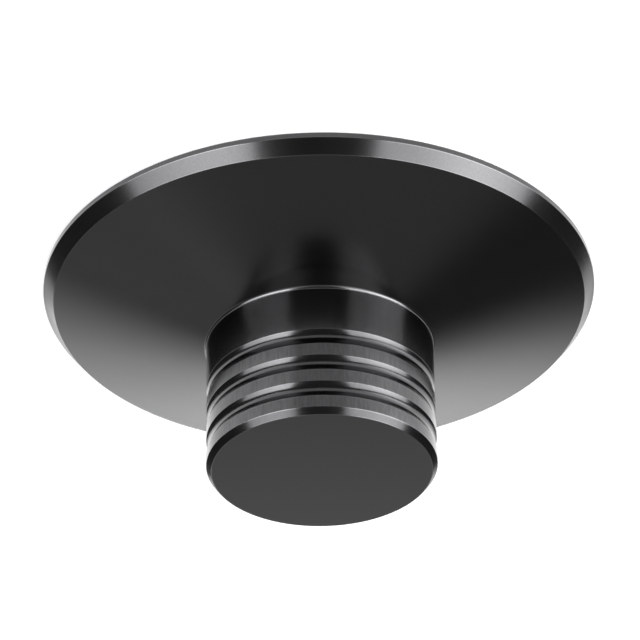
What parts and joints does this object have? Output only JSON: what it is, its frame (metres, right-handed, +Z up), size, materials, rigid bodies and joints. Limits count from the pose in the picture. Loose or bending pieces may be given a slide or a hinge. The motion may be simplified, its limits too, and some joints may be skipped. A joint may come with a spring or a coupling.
{
  "type": "record weight",
  "caption": "Round record weight: low cone with a bevelled rim, a grooved grip knob on top and a blind spindle hole below.",
  "frame": {"origin": "centre of the resting face, on the spindle axis", "axes": "+Z up along the spindle axis, from the record towards the end of the knob; X and Y lie in the resting face"},
  "size_m": [0.085, 0.085, 0.0322],
  "materials": {
    "black_anodised_aluminium": "fine turned, dyed black and anodised, satin"
  },
  "bodies": {
    "root": {"record_weight": "black_anodised_aluminium"}
  },
  "joints": []
}
